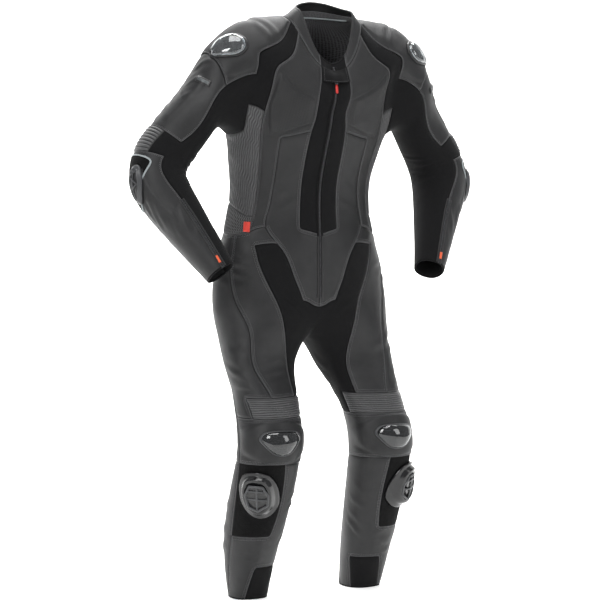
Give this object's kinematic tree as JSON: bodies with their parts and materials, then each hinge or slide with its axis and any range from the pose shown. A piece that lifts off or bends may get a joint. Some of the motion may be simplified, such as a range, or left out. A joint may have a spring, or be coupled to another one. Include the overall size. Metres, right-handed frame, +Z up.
{
  "type": "motorcycle race suit",
  "caption": "One-piece leather riding suit in worn shape, hollow, with stretch panels, ribbed zones, shoulder, elbow and knee sliders, front zip, open neck, cuffs and hems.",
  "frame": {"origin": "centre of the neck base, where the wearer's neck leaves the suit", "axes": "+Z up, the wearer faces -Y, the wearer's left is +X"},
  "size_m": [0.8981, 0.3144, 1.4061],
  "materials": {
    "leather": "matt, fine grain",
    "ribbed_leather": "matt, stitched ribs",
    "stretch_cloth": "matt stretch weave",
    "mesh_cloth": "matt diamond mesh",
    "loop_cloth": "fuzzy loop face",
    "smoked_shield": "smoked, gloss",
    "slider_plastic": "satin to gloss",
    "zip_tape": "woven tape and moulded teeth",
    "zip_metal": "dark satin",
    "red_tab": "matt"
  },
  "bodies": {
    "suit": {"abdomen_left": "leather", "abdomen_right": "leather", "ankle_stretch_left": "stretch_cloth", "ankle_stretch_right": "stretch_cloth", "arm_tab_left": "smoked_shield", "arm_tab_right": "smoked_shield", "back_lower": "leather", "back_upper": "leather", "calf_left": "leather", "calf_right": "leather", "chest_left": "leather", "chest_right": "leather", "collar": "leather", "cuff_pull_left": "red_tab", "cuff_pull_right": "red_tab", "elbow_ribs_left": "ribbed_leather", "elbow_ribs_right": "ribbed_leather", "elbow_slider_left": "slider_plastic", "elbow_slider_right": "slider_plastic", "forearm_left": "leather", "forearm_right": "leather", "gusset": "stretch_cloth", "hip_mesh_left": "mesh_cloth", "hip_mesh_right": "mesh_cloth", "knee_cap_left": "smoked_shield", "knee_cap_right": "smoked_shield", "knee_cup_left": "leather", "knee_cup_right": "leather", "knee_ribs_left": "ribbed_leather", "knee_ribs_right": "ribbed_leather", "knee_slider_left": "slider_plastic", "knee_slider_right": "slider_plastic", "leg_back_left": "leather", "leg_back_right": "leather", "seat": "leather", "shin_left": "leather", "shin_right": "leather", "shoulder_left": "leather", "shoulder_right": "leather", "shoulder_slider_left": "smoked_shield", "shoulder_slider_right": "smoked_shield", "side_label": "red_tab", "side_ribs_left": "ribbed_leather", "side_ribs_right": "ribbed_leather", "slider_base_left": "loop_cloth", "slider_base_right": "loop_cloth", "stretch_left": "stretch_cloth", "stretch_right": "stretch_cloth", "thigh_front_left": "leather", "thigh_front_right": "leather", "thigh_outer_left": "leather", "thigh_outer_right": "leather", "upper_arm_left": "leather", "upper_arm_right": "leather", "zip": "zip_tape", "zip_flap": "stretch_cloth", "zip_panel_left": "stretch_cloth", "zip_panel_right": "stretch_cloth", "zip_slider": "zip_metal"},
    "pull": {"zip_pull": "red_tab"}
  },
  "joints": [
    {"name": "pull_swing", "type": "hinge", "parent": "suit", "child": "pull", "pos_m": [-0.00694, -0.11583, -0.11288], "axis": [-0.9874, 0.0654, 0.1444], "range_deg": [0, 95]}
  ]
}
